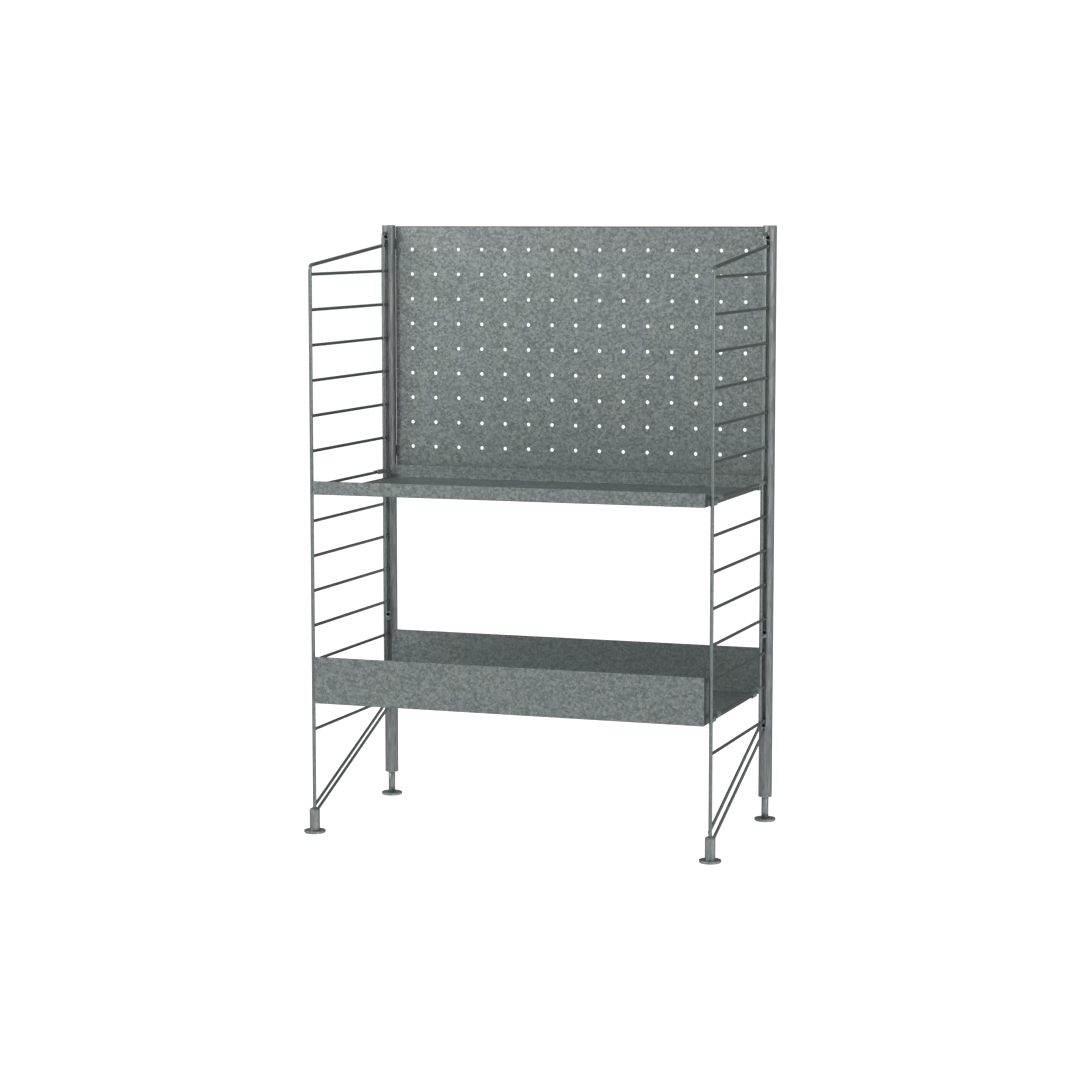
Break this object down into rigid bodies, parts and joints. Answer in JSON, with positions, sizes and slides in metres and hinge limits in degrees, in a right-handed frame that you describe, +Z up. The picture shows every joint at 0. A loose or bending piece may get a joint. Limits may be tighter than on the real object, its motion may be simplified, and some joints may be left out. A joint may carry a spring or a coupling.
{
  "type": "raised planter on legs",
  "caption": "Free-standing galvanised steel outdoor shelf with wire ladder ends, pegboard back, shallow shelf and deep planter tray on levelling feet.",
  "frame": {"origin": "on the floor, in the middle of the footprint", "axes": "+X to the right, -Y to the front, +Z up"},
  "size_m": [0.8398, 0.439, 1.1736],
  "materials": {
    "galvanised_sheet": "hot-dip galvanised sheet, weathered grey spangle",
    "galvanised_wire": "hot-dip galvanised wire, satin",
    "galvanised_tube": "galvanised tube, satin",
    "galvanised_fitting": "galvanised fitting, satin",
    "galvanised_foot": "galvanised foot, satin",
    "zinc_fastener": "zinc-plated",
    "dark_fastener": "blackened screw"
  },
  "bodies": {
    "frame": {"left_front_wire": "galvanised_wire", "left_rear_wire": "galvanised_wire", "left_brace_wire": "galvanised_wire", "left_rungs": "galvanised_wire", "left_foot_sleeve": "galvanised_foot", "left_ladder_lugs": "galvanised_fitting", "left_ladder_screws": "dark_fastener", "left_slot_nuts": "zinc_fastener", "left_post": "galvanised_tube", "left_post_cap": "galvanised_fitting", "left_post_insert": "galvanised_fitting", "right_front_wire": "galvanised_wire", "right_rear_wire": "galvanised_wire", "right_brace_wire": "galvanised_wire", "right_rungs": "galvanised_wire", "right_foot_sleeve": "galvanised_foot", "right_ladder_lugs": "galvanised_fitting", "right_ladder_screws": "dark_fastener", "right_slot_nuts": "zinc_fastener", "right_post": "galvanised_tube", "right_post_cap": "galvanised_fitting", "right_post_insert": "galvanised_fitting", "pegboard": "galvanised_sheet", "pegboard_plates": "galvanised_fitting", "pegboard_screws": "zinc_fastener"},
    "shelf": {"shelf_tray": "galvanised_sheet", "shelf_hooks": "galvanised_fitting"},
    "planter": {"planter_tray": "galvanised_sheet", "planter_hooks": "galvanised_fitting"},
    "left_front_foot_screw": {"left_front_foot_screw": "galvanised_foot"},
    "left_front_pad": {"left_front_pad": "galvanised_foot"},
    "left_rear_foot_screw": {"left_rear_foot_screw": "galvanised_foot"},
    "left_rear_pad": {"left_rear_pad": "galvanised_foot"},
    "right_front_foot_screw": {"right_front_foot_screw": "galvanised_foot"},
    "right_front_pad": {"right_front_pad": "galvanised_foot"},
    "right_rear_foot_screw": {"right_rear_foot_screw": "galvanised_foot"},
    "right_rear_pad": {"right_rear_pad": "galvanised_foot"}
  },
  "joints": [
    {"name": "shelf_lift", "type": "slide", "parent": "frame", "child": "shelf", "axis": [0, 0, 1], "range_m": [0, 0.03]},
    {"name": "planter_lift", "type": "slide", "parent": "frame", "child": "planter", "axis": [0, 0, 1], "range_m": [0, 0.03]},
    {"name": "left_front_foot_travel", "type": "slide", "parent": "frame", "child": "left_front_foot_screw", "axis": [0, 0, -1], "range_m": [0, 0.0125]},
    {"name": "left_front_foot_turn", "type": "hinge", "parent": "left_front_foot_screw", "child": "left_front_pad", "pos_m": [-0.3989, -0.1985, 0.003], "axis": [0, 0, -1], "range_deg": [0, 3600]},
    {"name": "left_rear_foot_travel", "type": "slide", "parent": "frame", "child": "left_rear_foot_screw", "axis": [0, 0, -1], "range_m": [0, 0.015]},
    {"name": "left_rear_foot_turn", "type": "hinge", "parent": "left_rear_foot_screw", "child": "left_rear_pad", "pos_m": [-0.3989, 0.1985, 0.003], "axis": [0, 0, -1], "range_deg": [0, 3600]},
    {"name": "right_front_foot_travel", "type": "slide", "parent": "frame", "child": "right_front_foot_screw", "axis": [0, 0, -1], "range_m": [0, 0.0125]},
    {"name": "right_front_foot_turn", "type": "hinge", "parent": "right_front_foot_screw", "child": "right_front_pad", "pos_m": [0.3989, -0.1985, 0.003], "axis": [0, 0, -1], "range_deg": [0, 3600]},
    {"name": "right_rear_foot_travel", "type": "slide", "parent": "frame", "child": "right_rear_foot_screw", "axis": [0, 0, -1], "range_m": [0, 0.015]},
    {"name": "right_rear_foot_turn", "type": "hinge", "parent": "right_rear_foot_screw", "child": "right_rear_pad", "pos_m": [0.3989, 0.1985, 0.003], "axis": [0, 0, -1], "range_deg": [0, 3600]}
  ],
  "couplings": [
    {"joint": "left_front_foot_turn", "follows": "left_front_foot_travel", "rad_per_m": 5026.5},
    {"joint": "left_rear_foot_turn", "follows": "left_rear_foot_travel", "rad_per_m": 4188.8},
    {"joint": "right_front_foot_turn", "follows": "right_front_foot_travel", "rad_per_m": 5026.5},
    {"joint": "right_rear_foot_turn", "follows": "right_rear_foot_travel", "rad_per_m": 4188.8}
  ]
}
